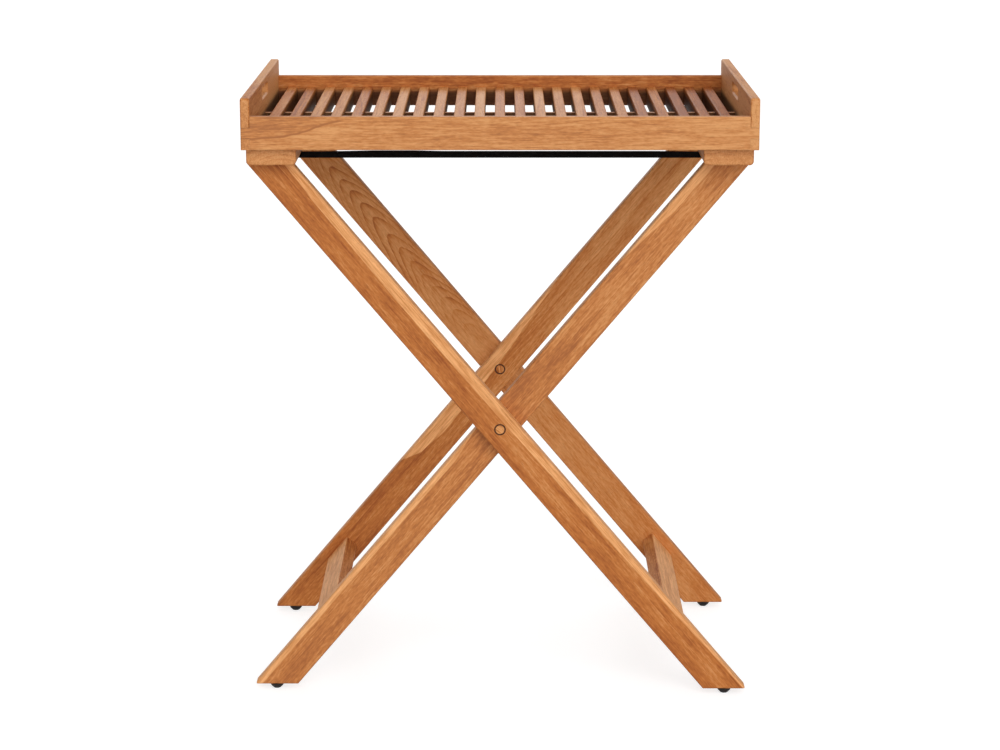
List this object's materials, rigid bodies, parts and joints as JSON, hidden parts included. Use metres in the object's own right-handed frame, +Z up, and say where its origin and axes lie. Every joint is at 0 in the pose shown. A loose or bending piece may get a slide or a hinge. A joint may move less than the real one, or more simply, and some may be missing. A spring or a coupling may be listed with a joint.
{
  "type": "folding tray table",
  "caption": "Tall folding tray table: a slatted wooden tray with oblong handle slots stands on a pivoting X-frame held open by webbing straps.",
  "frame": {"origin": "on the floor, under the middle of the tray", "axes": "+Z up, +X along the tray's width to the right as seen from the front, +Y from the front to the back"},
  "size_m": [0.6206, 0.433, 0.761],
  "materials": {
    "teak": "oiled, satin",
    "glide_plastic": "moulded",
    "steel": "plated",
    "webbing": "woven"
  },
  "bodies": {
    "outer_frame": {"outer_front_leg": "teak", "outer_back_leg": "teak", "outer_top_rail": "teak", "outer_stretcher": "teak", "outer_glides": "glide_plastic", "outer_front_plug": "teak", "outer_back_plug": "teak", "pivot_bolts": "steel", "pivot_nuts": "steel", "front_strap": "webbing", "back_strap": "webbing", "outer_strap_tacks": "steel"},
    "inner_frame": {"inner_front_leg": "teak", "inner_back_leg": "teak", "inner_top_rail": "teak", "inner_stretcher": "teak", "inner_glides": "glide_plastic", "inner_front_plug": "teak", "inner_back_plug": "teak", "inner_strap_tacks": "steel"},
    "tray": {"tray_front_rail": "teak", "tray_back_rail": "teak", "tray_left_end": "teak", "tray_right_end": "teak", "slat_01": "teak", "slat_02": "teak", "slat_03": "teak", "slat_04": "teak", "slat_05": "teak", "slat_06": "teak", "slat_07": "teak", "slat_08": "teak", "slat_09": "teak", "slat_10": "teak", "slat_11": "teak", "slat_12": "teak", "slat_13": "teak", "slat_14": "teak", "slat_15": "teak", "slat_16": "teak", "slat_17": "teak", "slat_18": "teak", "slat_19": "teak", "slat_20": "teak", "slat_21": "teak", "slat_22": "teak", "slat_23": "teak", "tray_batten": "teak"}
  },
  "joints": [
    {"name": "fold", "type": "hinge", "parent": "outer_frame", "child": "inner_frame", "pos_m": [0, 0, 0.346], "axis": [0, -1, 0], "range_deg": [0, 68.5], "deforming": ["front_strap", "back_strap"]},
    {"name": "tray_lift", "type": "slide", "parent": "outer_frame", "child": "tray", "axis": [0, 0, 1], "range_m": [0, 0.4]}
  ],
  "couplings": [
    {"joint": "tray_lift", "follows": "fold", "m_per_rad": 0.33}
  ]
}
